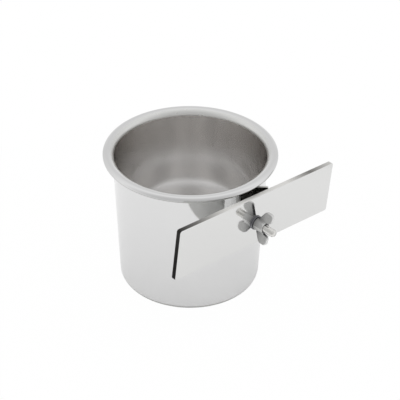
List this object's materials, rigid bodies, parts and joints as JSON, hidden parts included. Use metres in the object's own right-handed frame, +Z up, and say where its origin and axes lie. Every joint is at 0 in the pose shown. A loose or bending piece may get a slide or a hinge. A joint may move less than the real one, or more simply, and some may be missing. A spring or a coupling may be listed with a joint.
{
  "type": "seed cup with bar clamp",
  "caption": "Tapered drawn steel seed cup with a rolled rim, hung on cage bars by a welded bracket and stud, a flat clamp plate and a wing nut.",
  "frame": {"origin": "middle of the cup's flat base, on the surface that it stands on", "axes": "+Z up along the cup's axis, -Y towards the clamp plate, +X along the plate"},
  "size_m": [0.1104, 0.1061, 0.0756],
  "materials": {
    "polished_cup_steel": "drawn stainless sheet, polished outside, satin inside",
    "clamp_sheet_steel": "cut stainless strip, polished faces, sheared edges",
    "stud_steel": "bright turned stainless steel",
    "washer_steel": "stamped steel, dull zinc plated",
    "cast_nut_steel": "cast stainless steel, tumbled dull"
  },
  "bodies": {
    "cup": {"cup_shell": "polished_cup_steel", "spacer_bracket": "clamp_sheet_steel", "weld_stud": "stud_steel"},
    "washer": {"washer": "washer_steel"},
    "plate": {"clamp_plate": "clamp_sheet_steel"},
    "nut": {"wing_nut": "cast_nut_steel"}
  },
  "joints": [
    {"name": "nut_travel", "type": "slide", "parent": "cup", "child": "washer", "axis": [0, -0.9988, -0.0495], "range_m": [0, 0.0105]},
    {"name": "nut_spin", "type": "hinge", "parent": "washer", "child": "nut", "pos_m": [0, -0.04898, 0.05483], "axis": [0, -0.9988, -0.0495], "range_deg": [0, 5400]},
    {"name": "plate_swivel", "type": "hinge", "parent": "washer", "child": "plate", "pos_m": [0, -0.04559, 0.05499], "axis": [0, -0.9988, -0.0495], "continuous": true}
  ],
  "couplings": [
    {"joint": "nut_spin", "follows": "nut_travel", "rad_per_m": 8976}
  ]
}
